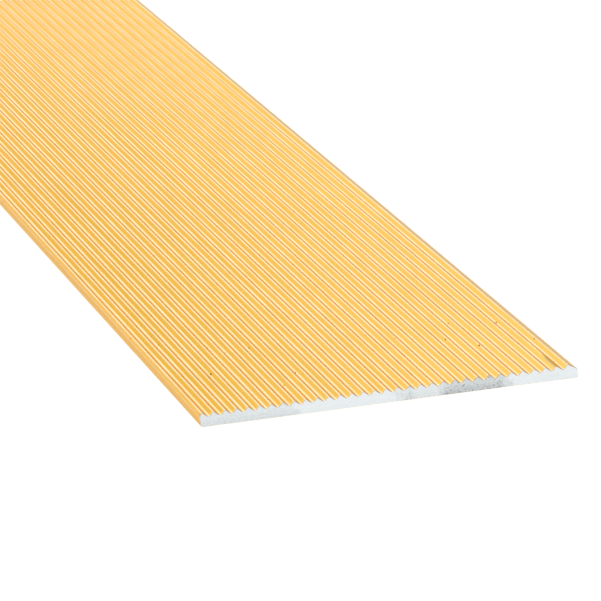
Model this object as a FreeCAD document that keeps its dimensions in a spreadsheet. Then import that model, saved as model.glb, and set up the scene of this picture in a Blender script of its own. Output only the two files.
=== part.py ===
import FreeCAD, Part
import math
import os
import Sketcher

# Undrilled threshold strip: one wide, flat, ribbed aluminium extrusion that is bonded to the floor by
# three bands of thin double-sided tape, each still covered by its peel-off release liner.
# Millimetres. +X runs across the strip, +Y along it, +Z up. The origin is the centre of the footprint,
# on the plane that the release liners rest on.

DIMENSIONS = {
    # the extrusion's outside
    "strip_length": 900,
    "strip_width": 80,
    "strip_height": 2.9,
    # ribs, counted across the strip; every groove lies between two crests
    "groove_count": 32,
    "rib_pitch": 2.42,
    "groove_depth": 0.83,
    "valley_share": 0.545,
    "valley_radius": 0.55,
    "crest_land": 0.24,
    # left long edge: a rounded nose that leans in towards its rounded foot
    "first_crest_inset": 0.56,
    "nose_radius": 0.35,
    "nose_height": 2.0,
    "nose_undercut": 0.15,
    "nose_foot_radius": 0.3,
    # right long edge: a bevel outside the last crest, then an upright side
    "corner_radius": 0.3,
    "corner_height": 1.68,
    "bevel_foot_radius": 0.12,
    # adhesive bands and their liners
    "tape_thickness": 0.17,
    "tape_width": 19,
    "tape_side_gap": 4,
    "tape_end_gap": 12,
    "liner_thickness": 0.1,
    "liner_overlap": 1,
    "tab_length": 8,
    "tab_radius": 5,
}

# Centre of each band across the strip, as an expression on the sheet.
BAND_CENTRES = {
    "left": "-dims.strip_width / 2 + dims.tape_side_gap + dims.tape_width / 2",
    "centre": "0",
    "right": "dims.strip_width / 2 - dims.tape_side_gap - dims.tape_width / 2",
}

START, END, CENTRE = 1, 2, 3  # a sketch element's points, as Sketcher numbers them
ORIGIN = (-1, 1)  # the sketch's origin, as an element and its point
TOLERANCE = 0.001  # mm, for sizes read back from finished shapes


def make_sheet(doc):
    """The driving dimensions, one aliased cell each."""
    sheet = doc.addObject("Spreadsheet::Sheet", "dims")
    for row, (name, value) in enumerate(DIMENSIONS.items(), start=1):
        sheet.set(f"A{row}", name)
        sheet.set(f"B{row}", str(value))
        sheet.setAlias(f"B{row}", name)
    doc.recompute()
    return sheet


def make_body(doc, label):
    """An empty PartDesign body whose label names its file."""
    body = doc.addObject("PartDesign::Body", label)
    body.Label = label
    return body


def make_sketch(body, name, plane_role):
    """An empty sketch on one of the body's own origin planes."""
    plane = next(f for f in body.Origin.OriginFeatures if f.Role == plane_role)
    sketch = body.newObject("Sketcher::SketchObject", name)
    sketch.AttachmentSupport = (plane, [""])
    sketch.MapMode = "FlatFace"
    return sketch


def add_line(sketch, start, end):
    """A straight edge, returned as its element number."""
    return sketch.addGeometry(Part.LineSegment(FreeCAD.Vector(*start), FreeCAD.Vector(*end)))


def add_arc(sketch, centre, radius, start_degrees, end_degrees):
    """A round edge that turns anticlockwise, returned as its element number."""
    circle = Part.Circle(FreeCAD.Vector(*centre), FreeCAD.Vector(0, 0, 1), radius)
    arc = Part.ArcOfCircle(circle, math.radians(start_degrees), math.radians(end_degrees))
    return sketch.addGeometry(arc)


def join(sketch, kind, first, first_point, second, second_point):
    """Joins two element ends: Coincident makes a corner, Tangent a smooth run."""
    sketch.addConstraint(Sketcher.Constraint(kind, first, first_point, second, second_point))


def set_radius(sketch, arc, expression):
    """Binds an arc's radius to the sheet."""
    index = sketch.addConstraint(Sketcher.Constraint("Radius", arc, sketch.Geometry[arc].Radius))
    sketch.setExpression(f"Constraints[{index}]", expression)


def set_place(sketch, kind, element, point, expression):
    """Binds one coordinate of a point (kind DistanceX or DistanceY), from the sketch's origin."""
    here = sketch.getPoint(element, point)
    value = here.x if kind == "DistanceX" else here.y
    constraint = Sketcher.Constraint(kind, *ORIGIN, element, point, value)
    index = sketch.addConstraint(constraint)
    sketch.setExpression(f"Constraints[{index}]", expression)


def draw_strip_outline(sketch, sheet):
    """The section before its grooves: flat underside and top, nose on the left, bevel on the right."""
    half_width = sheet.strip_width / 2
    height = sheet.strip_height
    left_radius = sheet.nose_foot_radius
    right_radius = sheet.bevel_foot_radius
    first_crest = -half_width + sheet.first_crest_inset
    last_crest = first_crest + sheet.groove_count * sheet.rib_pitch
    nose_x = -half_width + sheet.nose_radius
    left_foot_x = -half_width + sheet.nose_undercut + left_radius
    right_foot_x = half_width - right_radius
    corner_x = half_width - sheet.corner_radius

    underside = add_line(sketch, (left_foot_x, 0), (right_foot_x, 0))
    right_foot = add_arc(sketch, (right_foot_x, right_radius), right_radius, 270, 360)
    right_side = add_line(sketch, (half_width, right_radius), (half_width, sheet.corner_height))
    corner = add_arc(sketch, (corner_x, sheet.corner_height), sheet.corner_radius, 0, 60)
    bevel = add_line(sketch, (corner_x + 0.1, sheet.corner_height + 0.3), (last_crest, height))
    top = add_line(sketch, (last_crest, height), (first_crest, height))
    shoulder = add_line(sketch, (first_crest, height), (nose_x - 0.2, sheet.nose_height + 0.2))
    nose = add_arc(sketch, (nose_x, sheet.nose_height), sheet.nose_radius, 140, 190)
    left_side = add_line(
        sketch, (-half_width, sheet.nose_height), (left_foot_x - left_radius, left_radius)
    )
    left_foot = add_arc(sketch, (left_foot_x, left_radius), left_radius, 190, 270)

    join(sketch, "Tangent", underside, END, right_foot, START)
    join(sketch, "Tangent", right_foot, END, right_side, START)
    join(sketch, "Tangent", right_side, END, corner, START)
    join(sketch, "Tangent", corner, END, bevel, START)
    join(sketch, "Coincident", bevel, END, top, START)
    join(sketch, "Coincident", top, END, shoulder, START)
    join(sketch, "Tangent", shoulder, END, nose, START)
    join(sketch, "Tangent", nose, END, left_side, START)
    join(sketch, "Tangent", left_side, END, left_foot, START)
    join(sketch, "Tangent", left_foot, END, underside, START)
    sketch.addConstraint(Sketcher.Constraint("Horizontal", underside))
    sketch.addConstraint(Sketcher.Constraint("Horizontal", top))
    sketch.addConstraint(Sketcher.Constraint("Vertical", right_side))

    set_place(sketch, "DistanceY", underside, START, "0")
    set_place(sketch, "DistanceX", right_side, START, "dims.strip_width / 2")
    set_radius(sketch, right_foot, "dims.bevel_foot_radius")
    set_radius(sketch, corner, "dims.corner_radius")
    set_place(sketch, "DistanceY", corner, CENTRE, "dims.corner_height")
    set_place(sketch, "DistanceY", top, START, "dims.strip_height")
    set_place(
        sketch, "DistanceX", top, START,
        "-dims.strip_width / 2 + dims.first_crest_inset"
        " + dims.groove_count * dims.rib_pitch + dims.crest_land / 2",
    )
    set_place(
        sketch, "DistanceX", top, END,
        "-dims.strip_width / 2 + dims.first_crest_inset - dims.crest_land / 2",
    )
    set_radius(sketch, nose, "dims.nose_radius")
    set_place(sketch, "DistanceX", nose, CENTRE, "-dims.strip_width / 2 + dims.nose_radius")
    set_place(sketch, "DistanceY", nose, CENTRE, "dims.nose_height")
    set_radius(sketch, left_foot, "dims.nose_foot_radius")
    set_place(
        sketch, "DistanceX", left_foot, CENTRE,
        "-dims.strip_width / 2 + dims.nose_undercut + dims.nose_foot_radius",
    )


def draw_groove(sketch, sheet):
    """The first groove's section: two unequal flanks that run into a rounded valley."""
    first_crest = -sheet.strip_width / 2 + sheet.first_crest_inset
    height = sheet.strip_height
    radius = sheet.valley_radius
    valley_x = first_crest + sheet.valley_share * sheet.rib_pitch
    centre_z = height - sheet.groove_depth + radius
    mouth_left = first_crest + sheet.crest_land / 2
    mouth_right = first_crest + sheet.rib_pitch - sheet.crest_land / 2

    left_flank = add_line(sketch, (mouth_left, height), (valley_x - radius / 2, centre_z - radius))
    valley = add_arc(sketch, (valley_x, centre_z), radius, 230, 310)
    right_flank = add_line(sketch, (valley_x + radius / 2, centre_z - radius), (mouth_right, height))
    mouth = add_line(sketch, (mouth_right, height), (mouth_left, height))

    join(sketch, "Tangent", left_flank, END, valley, START)
    join(sketch, "Tangent", valley, END, right_flank, START)
    join(sketch, "Coincident", right_flank, END, mouth, START)
    join(sketch, "Coincident", mouth, END, left_flank, START)
    sketch.addConstraint(Sketcher.Constraint("Horizontal", mouth))

    set_place(sketch, "DistanceY", mouth, START, "dims.strip_height")
    set_place(
        sketch, "DistanceX", mouth, END,
        "-dims.strip_width / 2 + dims.first_crest_inset + dims.crest_land / 2",
    )
    set_place(
        sketch, "DistanceX", mouth, START,
        "-dims.strip_width / 2 + dims.first_crest_inset + dims.rib_pitch - dims.crest_land / 2",
    )
    set_radius(sketch, valley, "dims.valley_radius")
    set_place(
        sketch, "DistanceX", valley, CENTRE,
        "-dims.strip_width / 2 + dims.first_crest_inset + dims.valley_share * dims.rib_pitch",
    )
    set_place(
        sketch, "DistanceY", valley, CENTRE,
        "dims.strip_height - dims.groove_depth + dims.valley_radius",
    )


def make_profile(doc, sheet):
    """The aluminium extrusion: its outline padded along the length, then the grooves cut through."""
    body = make_body(doc, "ribbed_profile")
    outline = make_sketch(body, "strip_outline", "XZ_Plane")
    draw_strip_outline(outline, sheet)
    pad = body.newObject("PartDesign::Pad", "strip_pad")
    pad.Profile = outline
    pad.SideType = "Symmetric"
    pad.setExpression("Length", "dims.strip_length")
    doc.recompute()

    groove = make_sketch(body, "groove_outline", "XZ_Plane")
    draw_groove(groove, sheet)
    pocket = body.newObject("PartDesign::Pocket", "first_groove")
    pocket.Profile = groove
    pocket.Type = "ThroughAll"
    pocket.SideType = "Symmetric"
    doc.recompute()

    grooves = body.newObject("PartDesign::LinearPattern", "grooves")
    grooves.Originals = [pocket]
    grooves.Direction = (groove, ["H_Axis"])
    grooves.Mode = "Spacing"
    grooves.setExpression("Offset", "dims.rib_pitch")
    grooves.setExpression("Occurrences", "dims.groove_count")
    body.Tip = grooves
    body.setExpression("Placement.Base.z", "dims.liner_thickness + dims.tape_thickness")
    doc.recompute()
    check_grooves(pad, pocket, grooves, sheet)
    return body


def check_grooves(pad, pocket, grooves, sheet):
    """Stops the build unless every groove takes the same metal away as the first one does."""
    one_groove = pad.Shape.Volume - pocket.Shape.Volume
    all_grooves = pad.Shape.Volume - grooves.Shape.Volume
    if one_groove <= 0:
        raise RuntimeError("the first groove cuts nothing")
    if abs(all_grooves / one_groove - sheet.groove_count) > TOLERANCE:
        raise RuntimeError("the grooves don't all cut the same")


def make_tape(doc, side, centre):
    """One band of double-sided tape, between the profile's underside and its liner."""
    tape = doc.addObject("Part::Box", f"adhesive_tape_{side}")
    tape.Label = f"adhesive_tape_{side}"
    tape.setExpression("Length", "dims.tape_width")
    tape.setExpression("Width", "dims.strip_length - 2 * dims.tape_end_gap")
    tape.setExpression("Height", "dims.tape_thickness")
    tape.setExpression("Placement.Base.x", f"{centre} - dims.tape_width / 2")
    tape.setExpression("Placement.Base.y", "-dims.strip_length / 2 + dims.tape_end_gap")
    tape.setExpression("Placement.Base.z", "dims.liner_thickness")
    return tape


def draw_liner(sketch, sheet):
    """A liner's outline: square at the near end, a pull tab with rounded corners at the far one."""
    half_width = sheet.tape_width / 2 + sheet.liner_overlap
    near_y = -sheet.strip_length / 2 + sheet.tape_end_gap
    far_y = -near_y + sheet.tab_length
    radius = sheet.tab_radius

    near_end = add_line(sketch, (-half_width, near_y), (half_width, near_y))
    right_edge = add_line(sketch, (half_width, near_y), (half_width, far_y - radius))
    right_round = add_arc(sketch, (half_width - radius, far_y - radius), radius, 0, 90)
    far_end = add_line(sketch, (half_width - radius, far_y), (radius - half_width, far_y))
    left_round = add_arc(sketch, (radius - half_width, far_y - radius), radius, 90, 180)
    left_edge = add_line(sketch, (-half_width, far_y - radius), (-half_width, near_y))

    join(sketch, "Coincident", near_end, END, right_edge, START)
    join(sketch, "Tangent", right_edge, END, right_round, START)
    join(sketch, "Tangent", right_round, END, far_end, START)
    join(sketch, "Tangent", far_end, END, left_round, START)
    join(sketch, "Tangent", left_round, END, left_edge, START)
    join(sketch, "Coincident", left_edge, END, near_end, START)
    sketch.addConstraint(Sketcher.Constraint("Horizontal", near_end))
    sketch.addConstraint(Sketcher.Constraint("Vertical", right_edge))
    sketch.addConstraint(Sketcher.Constraint("Vertical", left_edge))
    sketch.addConstraint(Sketcher.Constraint("Horizontal", far_end))

    set_place(sketch, "DistanceX", near_end, START, "-dims.tape_width / 2 - dims.liner_overlap")
    set_place(sketch, "DistanceX", near_end, END, "dims.tape_width / 2 + dims.liner_overlap")
    set_place(sketch, "DistanceY", near_end, START, "-dims.strip_length / 2 + dims.tape_end_gap")
    set_place(
        sketch, "DistanceY", far_end, START,
        "dims.strip_length / 2 - dims.tape_end_gap + dims.tab_length",
    )
    set_radius(sketch, right_round, "dims.tab_radius")
    set_radius(sketch, left_round, "dims.tab_radius")


def make_liner(doc, sheet, side, centre):
    """One release liner, a little wider than its tape and longer by its pull tab."""
    body = make_body(doc, f"release_liner_{side}")
    outline = make_sketch(body, f"liner_outline_{side}", "XY_Plane")
    draw_liner(outline, sheet)
    pad = body.newObject("PartDesign::Pad", f"liner_pad_{side}")
    pad.Profile = outline
    pad.setExpression("Length", "dims.liner_thickness")
    body.setExpression("Placement.Base.x", centre)
    return body


def check_document(doc, pieces):
    """Stops the build if any object failed or any piece isn't one sound solid."""
    for item in doc.Objects:
        if {"Invalid", "Error"} & set(item.State):
            raise RuntimeError(f"{item.Label} is {item.State}")
        if item.TypeId == "Sketcher::SketchObject" and item.solve() != 0:
            raise RuntimeError(f"{item.Label} doesn't solve")
    for piece in pieces:
        shape = piece.Shape
        if shape.isNull() or not shape.isValid() or len(shape.Solids) != 1:
            raise RuntimeError(f"{piece.Label} isn't one valid solid")


def check_envelope(pieces, sheet):
    """Stops the build if the stack isn't as wide, long and high as the sheet says."""
    box = FreeCAD.BoundBox()
    for piece in pieces:
        box.add(piece.Shape.BoundBox)
    height = sheet.liner_thickness + sheet.tape_thickness + sheet.strip_height
    wanted = (sheet.strip_width, sheet.strip_length, height)
    for size, want in zip((box.XLength, box.YLength, box.ZLength), wanted):
        if abs(size - want) > TOLERANCE:
            raise RuntimeError(f"a side is {size:.4f} mm, not {want:.4f} mm")
    if abs(box.ZMin) > TOLERANCE:
        raise RuntimeError("the liners don't rest on the origin's plane")


def export(pieces):
    """One STEP file for each piece, named after its node."""
    os.makedirs("parts", exist_ok=True)
    for piece in pieces:
        piece.Shape.exportStep(f"parts/{piece.Label}.step")
        print(f"{piece.Label}: {piece.Shape.Volume:.1f} mm3, {len(piece.Shape.Faces)} faces")


def main():
    doc = FreeCAD.newDocument("threshold_strip")
    sheet = make_sheet(doc)
    pieces = [make_profile(doc, sheet)]
    for side, centre in BAND_CENTRES.items():
        pieces.append(make_tape(doc, side, centre))
        pieces.append(make_liner(doc, sheet, side, centre))
    doc.recompute()
    check_document(doc, pieces)
    check_envelope(pieces, sheet)
    export(pieces)


main()
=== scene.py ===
import math

import bpy
import numpy as np
from mathutils import Matrix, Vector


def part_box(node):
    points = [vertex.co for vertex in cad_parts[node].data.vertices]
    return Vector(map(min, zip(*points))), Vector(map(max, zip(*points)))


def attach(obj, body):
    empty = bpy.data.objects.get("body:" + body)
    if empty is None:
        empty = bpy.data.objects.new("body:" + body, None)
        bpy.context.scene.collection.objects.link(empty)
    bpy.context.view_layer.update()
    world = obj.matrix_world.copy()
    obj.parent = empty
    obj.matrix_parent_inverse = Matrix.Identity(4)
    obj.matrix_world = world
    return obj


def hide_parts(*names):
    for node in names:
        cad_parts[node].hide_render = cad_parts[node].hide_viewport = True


# Undrilled ribbed threshold strip, gold anodised, seen over its sawn near end. Lengths are in metres
# unless a name ends in _MM. +X runs across the strip, +Y along it, +Z up.

MM = 0.001

# The extrusion's section, in millimetres above its underside.
HEIGHT_MM = 2.9
HALF_WIDTH_MM = 40.0
RIB_PITCH_MM = 2.42
GROOVE_COUNT = 32
GROOVE_DEPTH_MM = 0.83
VALLEY_SHARE = 0.545
VALLEY_RADIUS_MM = 0.55
CREST_LAND_MM = 0.24
CREST_RADIUS_MM = 0.12
FIRST_CREST_MM = -HALF_WIDTH_MM + 0.56
NOSE_CENTRE_MM = (-39.65, 2.0)
NOSE_RADIUS_MM = 0.35
NOSE_FOOT_CENTRE_MM = (-39.55, 0.3)
NOSE_FOOT_RADIUS_MM = 0.3
CORNER_CENTRE_MM = (39.7, 1.68)
CORNER_RADIUS_MM = 0.3
BEVEL_FOOT_RADIUS_MM = 0.12
CUT_CHAMFER_MM = 0.05

ARC_STEP_DEGREES = 9.0
END_STATIONS_MM = [0, CUT_CHAMFER_MM, 1, 5, 20, 60, 120, 200, 300]  # distances from each end
KNOCK_STATIONS = 17

# Knocked-down crests: place across, distance of the middle from the near end, half length, depth.
KNOCKS_MM = [
    (FIRST_CREST_MM + 31 * RIB_PITCH_MM, 4.0, 8.0, 0.18),
    (FIRST_CREST_MM + 2 * RIB_PITCH_MM, 188.0, 9.0, 0.022),
    (FIRST_CREST_MM + 2 * RIB_PITCH_MM, 218.0, 14.0, 0.02),
    (FIRST_CREST_MM + 1 * RIB_PITCH_MM, 226.0, 10.0, 0.018),
]


def unit(vector):
    return vector / np.linalg.norm(vector)


def tangent_direction(point, centre, radius, side):
    """The direction from a point that just touches a circle, on its left (side 1) or right (-1)."""
    to_centre = np.subtract(centre, point)
    swing = math.asin(radius / np.linalg.norm(to_centre))
    angle = math.atan2(to_centre[1], to_centre[0]) + side * swing
    return np.array([math.cos(angle), math.sin(angle)])


def common_tangent(first, first_radius, second, second_radius, side):
    """A point and direction on the line that touches two circles on the same side."""
    along = np.subtract(second, first)
    swing = math.asin((first_radius - second_radius) / np.linalg.norm(along))
    angle = math.atan2(along[1], along[0]) - side * swing
    direction = np.array([math.cos(angle), math.sin(angle)])
    outward = side * np.array([-direction[1], direction[0]])
    return np.array(first) + outward * first_radius, direction


def meeting_point(first, first_direction, second, second_direction):
    """Where two lines, each a point and a direction, cross."""
    system = np.array([first_direction, -np.array(second_direction)]).T
    along = np.linalg.solve(system, np.subtract(second, first))
    return np.array(first) + along[0] * np.array(first_direction)


def section_corners():
    """The section's corners before rounding, anticlockwise from the left foot, each (point, radius)."""
    side_point, side_direction = common_tangent(
        NOSE_CENTRE_MM, NOSE_RADIUS_MM, NOSE_FOOT_CENTRE_MM, NOSE_FOOT_RADIUS_MM, side=-1
    )
    left_foot = meeting_point(side_point, side_direction, (0, 0), (1, 0))
    corners = [
        (left_foot, NOSE_FOOT_RADIUS_MM),
        (np.array([HALF_WIDTH_MM, 0.0]), BEVEL_FOOT_RADIUS_MM),
    ]
    half_land = CREST_LAND_MM / 2
    last_crest = FIRST_CREST_MM + GROOVE_COUNT * RIB_PITCH_MM
    bevel_top = np.array([last_crest + half_land, HEIGHT_MM])
    bevel = tangent_direction(bevel_top, CORNER_CENTRE_MM, CORNER_RADIUS_MM, side=1)
    corner = meeting_point(bevel_top, bevel, (HALF_WIDTH_MM, 0), (0, 1))
    corners.append((corner, CORNER_RADIUS_MM))
    corners.append((bevel_top, CREST_RADIUS_MM))
    for groove in reversed(range(GROOVE_COUNT)):
        left_crest = FIRST_CREST_MM + groove * RIB_PITCH_MM
        right_mouth = np.array([left_crest + RIB_PITCH_MM - half_land, HEIGHT_MM])
        left_mouth = np.array([left_crest + half_land, HEIGHT_MM])
        valley_centre = (
            left_crest + VALLEY_SHARE * RIB_PITCH_MM,
            HEIGHT_MM - GROOVE_DEPTH_MM + VALLEY_RADIUS_MM,
        )
        right_flank = tangent_direction(right_mouth, valley_centre, VALLEY_RADIUS_MM, side=1)
        left_flank = tangent_direction(left_mouth, valley_centre, VALLEY_RADIUS_MM, side=-1)
        valley = meeting_point(right_mouth, right_flank, left_mouth, left_flank)
        corners.append((right_mouth, CREST_RADIUS_MM))
        corners.append((valley, VALLEY_RADIUS_MM))
        corners.append((left_mouth, CREST_RADIUS_MM))
    shoulder_top = np.array([FIRST_CREST_MM - half_land, HEIGHT_MM])
    shoulder = tangent_direction(shoulder_top, NOSE_CENTRE_MM, NOSE_RADIUS_MM, side=-1)
    nose = meeting_point(shoulder_top, shoulder, side_point, side_direction)
    corners.append((shoulder_top, CREST_RADIUS_MM))
    corners.append((nose, NOSE_RADIUS_MM))
    return corners


def rounded_outline(corners):
    """The closed outline with every corner turned into an arc of its radius."""
    outline = []
    for i, (corner, radius) in enumerate(corners):
        towards_last = unit(corners[i - 1][0] - corner)
        towards_next = unit(corners[(i + 1) % len(corners)][0] - corner)
        inner_angle = math.acos(np.clip(towards_last @ towards_next, -1, 1))
        turn = math.pi - inner_angle
        reach = radius * math.tan(turn / 2)
        centre = corner + unit(towards_last + towards_next) * radius / math.sin(inner_angle / 2)
        start = corner + towards_last * reach - centre
        end = corner + towards_next * reach - centre
        steps = max(2, round(math.degrees(turn) / ARC_STEP_DEGREES))
        for step in range(steps + 1):
            share = step / steps
            blend = math.sin((1 - share) * turn) * start + math.sin(share * turn) * end
            outline.append(centre + blend / math.sin(turn))
    return np.array(outline)


def length_stations(half_length):
    """Places along the strip for its rings of vertices: towards both ends, and at the knocks."""
    near = [-half_length + step * MM for step in END_STATIONS_MM]
    stations = near + [0.0] + [-y for y in near]
    for _, middle, reach, _ in KNOCKS_MM:
        for share in np.linspace(-1, 1, KNOCK_STATIONS):
            step = middle + share * reach
            if step > 2 * CUT_CHAMFER_MM:
                stations.append(-half_length + step * MM)
    return sorted(set(stations))


def knocked_down(outline, distance):
    """The outline at a distance in millimetres from the near end, its knocked crests flattened."""
    shape = outline.copy()
    for across, middle, reach, depth in KNOCKS_MM:
        share = 1 - ((distance - middle) / reach) ** 2
        if share > 0:
            on_crest = np.abs(shape[:, 0] - across) < RIB_PITCH_MM / 2
            ceiling = HEIGHT_MM - depth * share
            shape[on_crest, 1] = np.minimum(shape[on_crest, 1], ceiling)
    return shape


def strip_mesh(underside_z, half_length):
    """The extrusion as one closed mesh: rings of the outline along it, capped by the two cut faces."""
    outline = rounded_outline(section_corners())
    before = np.roll(outline, 1, axis=0)
    after = np.roll(outline, -1, axis=0)
    along = after - before
    outward = np.stack([along[:, 1], -along[:, 0]], axis=1)
    outward /= np.linalg.norm(outward, axis=1)[:, None]
    cut = outline - outward * CUT_CHAMFER_MM
    stations = length_stations(half_length)
    count = len(outline)
    last_ring = len(stations) - 1
    vertices = []
    for ring, y in enumerate(stations):
        shape = cut if ring in (0, last_ring) else outline
        shape = knocked_down(shape, (y + half_length) / MM)
        vertices += [(x * MM, y, underside_z + z * MM) for x, z in shape]
    faces = [tuple(range(count))]
    for ring in range(last_ring):
        near = ring * count
        far = near + count
        for i in range(count):
            j = (i + 1) % count
            faces.append((near + i, near + j, far + j, far + i))
    first_of_last = last_ring * count
    faces.append(tuple(reversed(range(first_of_last, first_of_last + count))))
    mesh = bpy.data.meshes.new("ribbed_strip")
    mesh.from_pydata(vertices, [], faces)
    mesh.validate()
    return mesh


# Materials ---------------------------------------------------------------------------------------


class Nodes:
    """A material's node tree with short calls for adding and joining nodes."""

    def __init__(self, name):
        self.material = bpy.data.materials.new(name)
        self.material.use_nodes = True
        self.tree = self.material.node_tree
        self.shader = self.tree.nodes["Principled BSDF"]

    def add(self, kind, **settings):
        node = self.tree.nodes.new(kind)
        for name, value in settings.items():
            setattr(node, name, value)
        return node

    def link(self, source, target):
        self.tree.links.new(source, target)

    def set(self, **sockets):
        """Constant values on the shader's own sockets; Coat_Weight stands for "Coat Weight"."""
        for name, value in sockets.items():
            self.shader.inputs[name.replace("_", " ")].default_value = value

    def place(self, scale):
        """Object coordinates stretched by a scale for each axis."""
        coordinates = self.add("ShaderNodeTexCoord")
        mapping = self.add("ShaderNodeMapping")
        mapping.inputs["Scale"].default_value = scale
        self.link(coordinates.outputs["Object"], mapping.inputs["Vector"])
        return mapping.outputs["Vector"]

    def axis(self, name):
        """The object coordinate along X, Y or Z, in metres."""
        coordinates = self.add("ShaderNodeTexCoord")
        parts = self.add("ShaderNodeSeparateXYZ")
        self.link(coordinates.outputs["Object"], parts.inputs["Vector"])
        return parts.outputs[name]

    def window(self, value, low, high, blur):
        """1 where a value lies between low and high, 0 outside, with edges that fade over blur."""
        rise = self.span(value, low - blur / 2, low + blur / 2)
        fall = self.span(value, high - blur / 2, high + blur / 2, 1.0, 0.0)
        return self.product(rise, fall)

    def noise(self, scale, detail=2.0, roughness=0.5):
        """Noise of about one bump per metre divided by scale, 0 to 1 around 0.5."""
        node = self.add("ShaderNodeTexNoise")
        node.inputs["Scale"].default_value = 1.0
        node.inputs["Detail"].default_value = detail
        node.inputs["Roughness"].default_value = roughness
        self.link(self.place(scale), node.inputs["Vector"])
        return node.outputs["Fac"]

    def span(self, value, low, high, to_low=0.0, to_high=1.0):
        """Maps low..high to to_low..to_high, clamped."""
        node = self.add("ShaderNodeMapRange", clamp=True)
        self.link(value, node.inputs["Value"])
        node.inputs["From Min"].default_value = low
        node.inputs["From Max"].default_value = high
        node.inputs["To Min"].default_value = to_low
        node.inputs["To Max"].default_value = to_high
        return node.outputs["Result"]

    def math(self, operation, first, second):
        node = self.add("ShaderNodeMath", operation=operation)
        for socket, value in zip(node.inputs, (first, second)):
            if isinstance(value, (int, float)):
                socket.default_value = value
            else:
                self.link(value, socket)
        return node.outputs["Value"]

    def product(self, first, second):
        return self.math("MULTIPLY", first, second)

    def total(self, first, second):
        return self.math("ADD", first, second)

    def mix(self, share, first, second):
        """A colour between two, each a colour or another node's output."""
        node = self.add("ShaderNodeMix", data_type="RGBA")
        self.link(share, node.inputs["Factor"])
        for name, value in (("A", first), ("B", second)):
            socket = next(s for s in node.inputs if s.name == name and s.type == "RGBA")
            if isinstance(value, tuple):
                socket.default_value = (*value, 1.0)
            else:
                self.link(value, socket)
        return next(s for s in node.outputs if s.type == "RGBA")

    def bump(self, height, depth):
        """Turns a height of 0 to 1 into relief that is depth metres deep."""
        node = self.add("ShaderNodeBump")
        node.inputs["Strength"].default_value = 1.0
        node.inputs["Distance"].default_value = depth
        self.link(height, node.inputs["Height"])
        self.link(node.outputs["Normal"], self.shader.inputs["Normal"])


NOISE_RANGE = (0.3, 0.7)  # where nearly all of a noise texture's values lie

GOLD = (0.86, 0.56, 0.14)
GOLD_EDGE = (0.80, 0.51, 0.035)  # the metal's reflection at a glancing angle
GOLD_VARIATION = 0.09
METAL_ROUGHNESS = 0.35
ROUGHNESS_VARIATION = 0.15
COAT_WEIGHT = 0.30
COAT_WEIGHT_WORN_AND_HIGHLIGHT = 0.72  # heavier coat on the rubbed crests and on the painted highlight lines of the valley floors
COAT_ROUGHNESS = 0.13
COAT_IOR = 2.1
GOLD_RELIEF_MM = 0.003

# Noise scales here and below are bumps per metre along X, Y and Z.
GOLD_GRAIN = (6500, 6500, 6500)
DIE_LINES = (5200, 6, 900)
GOLD_CLOUDS = (22, 9, 22)

# Thinned anodising on the rubbed crests, lightened further by a painted highlight, and a painted highlight
# along the valley floors.
GOLD_WORN_AND_HIGHLIGHT = (1.0, 0.92, 0.84)
CREST_WEAR_AND_HIGHLIGHT = 0.51
CREST_WEAR_AND_HIGHLIGHT_DEPTH_MM = 0.16
CREST_FULL_WEAR_AND_HIGHLIGHT = 0.2  # share of that depth, from the top, where the wear and its painted highlight are full
VALLEY_PAINTED_HIGHLIGHT = 0.45
VALLEY_PAINTED_HIGHLIGHT_HEIGHT_MM = 0.09
VALLEY_PAINTED_HIGHLIGHT_FADE_MM = 0.06
UNDER_VALLEY_MM = 0.05
WEAR_AND_HIGHLIGHT_PATCHES = (900, 60, 900)
WEAR_AND_HIGHLIGHT_VARIATION = 0.3

# The scrape beside the knocked crest at the near end.
SCRAPED = (0.60, 0.53, 0.42)
SCRAPE_ACROSS_MM = (-0.45, 0.95)  # from the knocked crest's middle
SCRAPE_SIDE_FADE_MM = 0.3
SCRAPE_END_FADE_MM = (7.0, 11.0)  # from the near end
SCRAPE_TEXTURE = (1400, 900, 1400)

SPECK = (0.16, 0.08, 0.03)
SPECK_STRENGTH = 0.9
SPECK_CELLS = (230, 65, 230)  # cells per metre
EMPTY_CELLS = 0.2  # share of the cells that hold no speck
LARGEST_SPECK = 0.038  # radius as a share of a cell
SPECK_FADE_M = (0.37, 0.41)  # from the strip's middle, where the specks begin

TAPE_DARK = (0.82, 0.79, 0.70)
TAPE_LIGHT = (0.88, 0.86, 0.79)
KRAFT_DARK = (0.50, 0.33, 0.17)
KRAFT_LIGHT = (0.62, 0.44, 0.25)
FILM_RELIEF_MM = 0.02

BARE = (0.745, 0.78, 0.795)
BARE_TORN = (0.31, 0.325, 0.32)
BARE_ROUGHNESS = 0.38
TORN_ROUGHNESS = 0.62
TORN_RELIEF_MM = 0.02
TEAR_GRAIN = (2600, 2600, 2600)
TEAR_PITS = (1500, 1500, 1500)
SAW_LINES = (160, 160, 3600)
SAW_LINE_DARKNESS = 0.12
TEAR_WANDER = (420, 420, 420)
TEAR_WANDER_MM = 1.2
LOW_EDGE_MM = (0.3, 2.2)  # above the floor, the heights between which the torn face goes from darker at the bottom to lighter at the top
LOW_EDGE_DARKENING = (1.3, 0.6)

# Torn stretches of the sawn face: from and to across the strip, the fade at each end, how torn.
TORN_STRETCHES_MM = [
    (-41.0, -19.5, 0.6, 0.28),
    (2.4, 5.2, 2.5, 0.5),
    (5.6, 10.0, 2.5, 0.2),
    (11.0, 25.0, 2.5, 0.7),
]


def scaled(colour, factor):
    return tuple(min(1.0, part * factor) for part in colour)


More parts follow.
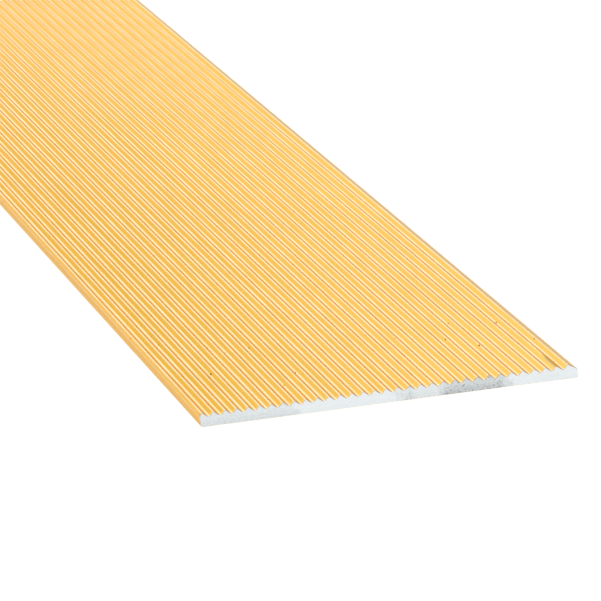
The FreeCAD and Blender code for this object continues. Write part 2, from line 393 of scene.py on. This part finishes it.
def worn_and_highlight_lines(nodes):
    """How pale the gold is, 0 to 1: rubbed and lightened by a painted highlight on the crests, a weaker
    painted highlight on the valley floors, uneven along the strip.
    """
    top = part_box("ribbed_profile")[1].z
    floor = top - GROOVE_DEPTH_MM * MM
    fade_depth = CREST_WEAR_AND_HIGHLIGHT_DEPTH_MM * MM
    height = nodes.axis("Z")
    # The crests get rubbed anodising, lightened further by a painted highlight.
    crest = nodes.span(height, top - fade_depth, top - CREST_FULL_WEAR_AND_HIGHLIGHT * fade_depth, 0.0, CREST_WEAR_AND_HIGHLIGHT)
    # The valley floors are not rubbed: their pale line is a painted highlight.
    highlight_top = floor + VALLEY_PAINTED_HIGHLIGHT_HEIGHT_MM * MM
    low = nodes.window(height, floor - UNDER_VALLEY_MM * MM, highlight_top, VALLEY_PAINTED_HIGHLIGHT_FADE_MM * MM)
    patches = nodes.noise(WEAR_AND_HIGHLIGHT_PATCHES, detail=2.0)
    uneven = nodes.span(patches, *NOISE_RANGE, 1 - WEAR_AND_HIGHLIGHT_VARIATION, 1 + WEAR_AND_HIGHLIGHT_VARIATION)
    return nodes.product(nodes.total(crest, nodes.product(low, VALLEY_PAINTED_HIGHLIGHT)), uneven)


def scraped_patch(nodes):
    """The grey, roughened flank beside the knocked crest at the near end, 0 to 1."""
    across = KNOCKS_MM[0][0]
    left, right = ((across + edge) * MM for edge in SCRAPE_ACROSS_MM)
    near_end = -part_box("ribbed_profile")[1].y
    full, gone = (near_end + distance * MM for distance in SCRAPE_END_FADE_MM)
    beside = nodes.window(nodes.axis("X"), left, right, SCRAPE_SIDE_FADE_MM * MM)
    along = nodes.span(nodes.axis("Y"), full, gone, 1.0, 0.0)
    torn = nodes.span(nodes.noise(SCRAPE_TEXTURE, detail=3.0), 0.35, 0.6, 0.35, 1.0)
    return nodes.product(nodes.product(beside, along), torn)


def saw_specks(nodes):
    """Dark swarf specks scattered near the two sawn ends, 0 to 1."""
    cells = nodes.add("ShaderNodeTexVoronoi", voronoi_dimensions="2D")
    cells.inputs["Scale"].default_value = 1.0
    nodes.link(nodes.place(SPECK_CELLS), cells.inputs["Vector"])
    chance = nodes.add("ShaderNodeSeparateXYZ")
    nodes.link(cells.outputs["Color"], chance.inputs["Vector"])
    size = nodes.span(chance.outputs["X"], EMPTY_CELLS, 1.0, 0.0, LARGEST_SPECK)
    speck = nodes.math("LESS_THAN", cells.outputs["Distance"], size)
    from_middle = nodes.math("ABSOLUTE", nodes.axis("Y"), 0.0)
    near_cut = nodes.span(from_middle, *SPECK_FADE_M)
    return nodes.product(nodes.product(speck, near_cut), SPECK_STRENGTH)


def gold_tint(nodes, grain, die_lines):
    """The unworn gold, a little lighter and darker with the grain, the die's lines and soft clouds."""
    clouds = nodes.noise(GOLD_CLOUDS, detail=2.0)
    fine = nodes.span(grain, *NOISE_RANGE, 0.0, 0.3)
    streaks = nodes.span(die_lines, 0.35, 0.65, 0.0, 0.5)
    broad = nodes.span(clouds, *NOISE_RANGE, 0.0, 0.2)
    tint = nodes.total(nodes.total(fine, streaks), broad)
    return nodes.mix(tint, scaled(GOLD, 1 - GOLD_VARIATION), scaled(GOLD, 1 + GOLD_VARIATION))


def gold_anodised():
    """Satin gold anodising: fine grain, faint lines drawn by the die, a clear oxide skin."""
    nodes = Nodes("gold_anodised_aluminium")
    grain = nodes.noise(GOLD_GRAIN, detail=1.0)
    die_lines = nodes.noise(DIE_LINES, detail=3.0)
    worn_and_highlight = worn_and_highlight_lines(nodes)
    scrape = scraped_patch(nodes)
    specks = saw_specks(nodes)
    # Pale gold on the crests is wear with a painted highlight; on the valley floors it is painted highlight
    # only.
    colour = nodes.mix(worn_and_highlight, gold_tint(nodes, grain, die_lines), GOLD_WORN_AND_HIGHLIGHT)
    colour = nodes.mix(scrape, colour, SCRAPED)
    colour = nodes.mix(specks, colour, SPECK)
    nodes.link(colour, nodes.shader.inputs["Base Color"])
    smoothest = METAL_ROUGHNESS * (1 - ROUGHNESS_VARIATION)
    roughest = METAL_ROUGHNESS * (1 + ROUGHNESS_VARIATION)
    roughness = nodes.span(die_lines, *NOISE_RANGE, smoothest, roughest)
    nodes.link(roughness, nodes.shader.inputs["Roughness"])
    relief = nodes.total(nodes.product(grain, 0.6), nodes.product(die_lines, 0.4))
    nodes.bump(relief, depth=GOLD_RELIEF_MM * MM)
    gloss = nodes.span(worn_and_highlight, 0.0, 0.5, COAT_WEIGHT, COAT_WEIGHT_WORN_AND_HIGHLIGHT)
    unmarked = nodes.span(nodes.math("MAXIMUM", scrape, specks), 0.0, 1.0, 1.0, 0.0)
    nodes.link(nodes.product(gloss, unmarked), nodes.shader.inputs["Coat Weight"])
    nodes.set(Metallic=1.0, Specular_Tint=(*GOLD_EDGE, 1.0))
    nodes.set(Coat_Roughness=COAT_ROUGHNESS, Coat_IOR=COAT_IOR)
    return nodes.material


def tear(nodes):
    """How torn the sawn face is, from 0 where the blade ran clean."""
    wander = nodes.noise(TEAR_WANDER, detail=3.0)
    shift = nodes.span(wander, *NOISE_RANGE, -TEAR_WANDER_MM * MM, TEAR_WANDER_MM * MM)
    across = nodes.total(nodes.axis("X"), shift)
    torn = 0.0
    for low, high, fade, amount in TORN_STRETCHES_MM:
        stretch = nodes.window(across, low * MM, high * MM, fade * MM)
        torn = nodes.total(torn, nodes.product(stretch, amount))
    return torn


def bare_aluminium():
    """The sawn face: smooth where the blade ran clean, torn into a dark coarse grain where it didn't."""
    nodes = Nodes("bare_aluminium")
    torn = tear(nodes)
    grain = nodes.span(nodes.noise(TEAR_GRAIN, detail=3.0, roughness=0.6), 0.40, 0.64, 0.3, 1.0)
    pits = nodes.span(nodes.noise(TEAR_PITS, detail=2.0), 0.58, 0.66)
    saw_lines = nodes.span(nodes.noise(SAW_LINES, detail=2.0), 0.45, 0.75, 0.0, SAW_LINE_DARKNESS)
    bottom, top = (height * MM for height in LOW_EDGE_MM)
    low_edge = nodes.span(nodes.axis("Z"), bottom, top, *LOW_EDGE_DARKENING)
    dark = nodes.product(nodes.product(torn, grain), low_edge)
    dark = nodes.total(dark, nodes.product(pits, nodes.math("POWER", torn, 2.0)))
    dark = nodes.total(dark, saw_lines)
    nodes.link(nodes.mix(nodes.span(dark, 0.0, 1.0), BARE, BARE_TORN), nodes.shader.inputs["Base Color"])
    nodes.link(nodes.span(torn, 0.0, 1.0, BARE_ROUGHNESS, TORN_ROUGHNESS), nodes.shader.inputs["Roughness"])
    nodes.bump(nodes.product(dark, -1.0), depth=TORN_RELIEF_MM * MM)
    nodes.set(Metallic=1.0)
    return nodes.material


def adhesive_tape():
    """Off-white double-sided tape."""
    nodes = Nodes("adhesive_tape")
    fibres = nodes.noise((900, 400, 900), detail=4.0)
    colour = nodes.mix(nodes.span(fibres, *NOISE_RANGE), TAPE_DARK, TAPE_LIGHT)
    nodes.link(colour, nodes.shader.inputs["Base Color"])
    nodes.bump(fibres, depth=FILM_RELIEF_MM * MM)
    nodes.set(Roughness=0.45)
    return nodes.material


def release_liner():
    """Brown kraft paper with a smooth silicone face."""
    nodes = Nodes("release_liner")
    fibres = nodes.noise((700, 250, 700), detail=5.0, roughness=0.65)
    colour = nodes.mix(nodes.span(fibres, *NOISE_RANGE), KRAFT_DARK, KRAFT_LIGHT)
    nodes.link(colour, nodes.shader.inputs["Base Color"])
    nodes.bump(fibres, depth=FILM_RELIEF_MM * MM)
    nodes.set(Roughness=0.35)
    return nodes.material


# Pieces ------------------------------------------------------------------------------------------


def build_strip(gold, bare):
    """The visible extrusion, with smooth crests and valleys, in place of the plain CAD one."""
    low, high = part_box("ribbed_profile")
    cut_starts = high.y - CUT_CHAMFER_MM * MM
    mesh = strip_mesh(underside_z=low.z, half_length=high.y)
    strip = bpy.data.objects.new("ribbed_strip", mesh)
    bpy.context.scene.collection.objects.link(strip)
    mesh.materials.append(gold)
    mesh.materials.append(bare)
    for face in mesh.polygons:
        is_flat_end = len(face.vertices) > 4
        is_sawn = abs(face.center.y) > cut_starts
        face.material_index = 1 if is_sawn else 0
        face.use_smooth = not is_flat_end
    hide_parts("ribbed_profile")
    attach(strip, "root")


def dress_cad_nodes(nodes, tape, liner):
    """Gives the tapes and liners, whose CAD shapes are right, their materials."""
    for prefix, material in (("adhesive_tape", tape), ("release_liner", liner)):
        for name, node in nodes.items():
            if name.startswith(prefix):
                node.data.materials.clear()
                node.data.materials.append(material)


# Stage -------------------------------------------------------------------------------------------

TENT_LIGHT = 0.9
PATCH_BLUR = 2.0  # degrees each way over which a patch of the tent fades at its edges

# Patches of the tent: sides in degrees from +Y towards +X, heights in degrees above the horizon,
# light added.
TENT_PATCHES = [
    ((-42.0, 42.0), (-30.0, 60.0), 0.55),  # bright beyond the end
    ((-49.0, -13.0), (7.0, 11.5), -1.3),  # a dark card low on the left
    ((14.0, 80.0), (-20.0, 34.0), -0.65),  # the dim right side
    ((14.0, 42.0), (34.0, 60.0), -0.5),  # and above it
    ((-91.0, 91.0), (60.0, 91.0), -0.2),  # the top
]
FLOOR_COLOUR = (0.25, 0.25, 0.25, 1.0)
FLOOR_GLOW = 0.88
FLOOR_HALF_WIDTH = 40.0

LENS_MM = 359.4
EYE_FROM_CORNER = (-0.2383, -1.1496, 0.3260)  # from the strip's near left corner on its underside
TURN_DEGREES = 12.791
TILT_DEGREES = 14.381
ROLL_DEGREES = -4.102


def build_floor():
    """A pale floor, wide enough for every view."""
    half = FLOOR_HALF_WIDTH
    mesh = bpy.data.meshes.new("floor")
    corners = [(-half, -half, 0), (half, -half, 0), (half, half, 0), (-half, half, 0)]
    mesh.from_pydata(corners, [], [(0, 1, 2, 3)])
    floor = bpy.data.objects.new("floor", mesh)
    bpy.context.scene.collection.objects.link(floor)
    nodes = Nodes("floor")
    nodes.set(Base_Color=FLOOR_COLOUR, Roughness=0.9, Specular_IOR_Level=0.0)
    nodes.set(Emission_Color=(1.0, 1.0, 1.0, 1.0), Emission_Strength=FLOOR_GLOW)
    mesh.materials.append(nodes.material)


def world_math(tree, operation, *values):
    """A Math node in the world's tree, fed by numbers or by other nodes' outputs."""
    node = tree.nodes.new("ShaderNodeMath")
    node.operation = operation
    for socket, value in zip(node.inputs, values):
        if isinstance(value, (int, float)):
            socket.default_value = value
        else:
            tree.links.new(value, socket)
    return node.outputs["Value"]


def inside(tree, angle, low, high):
    """1 where an angle lies between two limits in degrees and 0 outside, with a soft step at each."""
    steps = []
    for degrees, side in ((low, 1), (high, -1)):
        step = tree.nodes.new("ShaderNodeMapRange")
        step.interpolation_type = "SMOOTHSTEP"
        step.inputs["From Min"].default_value = math.radians(degrees - side * PATCH_BLUR)
        step.inputs["From Max"].default_value = math.radians(degrees + side * PATCH_BLUR)
        tree.links.new(angle, step.inputs["Value"])
        steps.append(step.outputs["Result"])
    return world_math(tree, "MULTIPLY", *steps)


def light_scene():
    """A white tent of light, brighter beyond both ends and dimmer at the right and the top.

    The far half of the tent is the near half turned half way round, so both ends look alike.
    """
    world = bpy.data.worlds.new("studio")
    bpy.context.scene.world = world
    world.use_nodes = True
    tree = world.node_tree
    background = tree.nodes["Background"]
    direction = tree.nodes.new("ShaderNodeTexCoord")
    parts = tree.nodes.new("ShaderNodeSeparateXYZ")
    tree.links.new(direction.outputs["Generated"], parts.inputs["Vector"])
    slant = world_math(tree, "DIVIDE", parts.outputs["X"], parts.outputs["Y"])
    azimuth = world_math(tree, "ARCTANGENT", slant)
    elevation = world_math(tree, "ARCSINE", parts.outputs["Z"])
    strength = TENT_LIGHT
    for sides, heights, added_light in TENT_PATCHES:
        in_sides = inside(tree, azimuth, *sides)
        in_heights = inside(tree, elevation, *heights)
        patch = world_math(tree, "MULTIPLY", in_sides, in_heights)
        extra = world_math(tree, "MULTIPLY", patch, added_light)
        strength = world_math(tree, "ADD", strength, extra)
    strength = world_math(tree, "MAXIMUM", strength, 0.0)
    tree.links.new(strength, background.inputs["Strength"])
    background.inputs["Color"].default_value = (1.0, 1.0, 1.0, 1.0)
    bpy.context.scene.view_settings.view_transform = "Standard"


def make_camera():
    """A long lens low over the near end, turned right, so that the strip recedes to the upper left."""
    camera = bpy.data.cameras.new("camera")
    camera.lens = LENS_MM
    camera.sensor_width = 36.0
    camera.clip_end = 200.0
    eye = bpy.data.objects.new("camera", camera)
    bpy.context.scene.collection.objects.link(eye)
    corner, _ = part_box("ribbed_profile")
    eye.location = [place + offset for place, offset in zip(corner, EYE_FROM_CORNER)]
    turn = Matrix.Rotation(-math.radians(TURN_DEGREES), 3, "Z")
    level = Matrix.Rotation(math.pi / 2, 3, "X")
    tilt = Matrix.Rotation(-math.radians(TILT_DEGREES), 3, "X")
    roll = Matrix.Rotation(math.radians(ROLL_DEGREES), 3, "Z")
    eye.rotation_euler = (turn @ level @ tilt @ roll).to_euler()
    bpy.context.scene.camera = eye


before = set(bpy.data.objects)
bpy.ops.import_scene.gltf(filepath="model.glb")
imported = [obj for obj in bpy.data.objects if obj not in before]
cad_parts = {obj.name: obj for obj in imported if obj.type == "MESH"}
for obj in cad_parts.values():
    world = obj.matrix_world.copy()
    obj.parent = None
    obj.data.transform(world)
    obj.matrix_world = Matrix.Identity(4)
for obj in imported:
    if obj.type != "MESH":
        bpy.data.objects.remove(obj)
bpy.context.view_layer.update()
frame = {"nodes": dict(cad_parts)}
build_strip(gold_anodised(), bare_aluminium())
dress_cad_nodes(frame["nodes"], adhesive_tape(), release_liner())
build_floor()
light_scene()
make_camera()
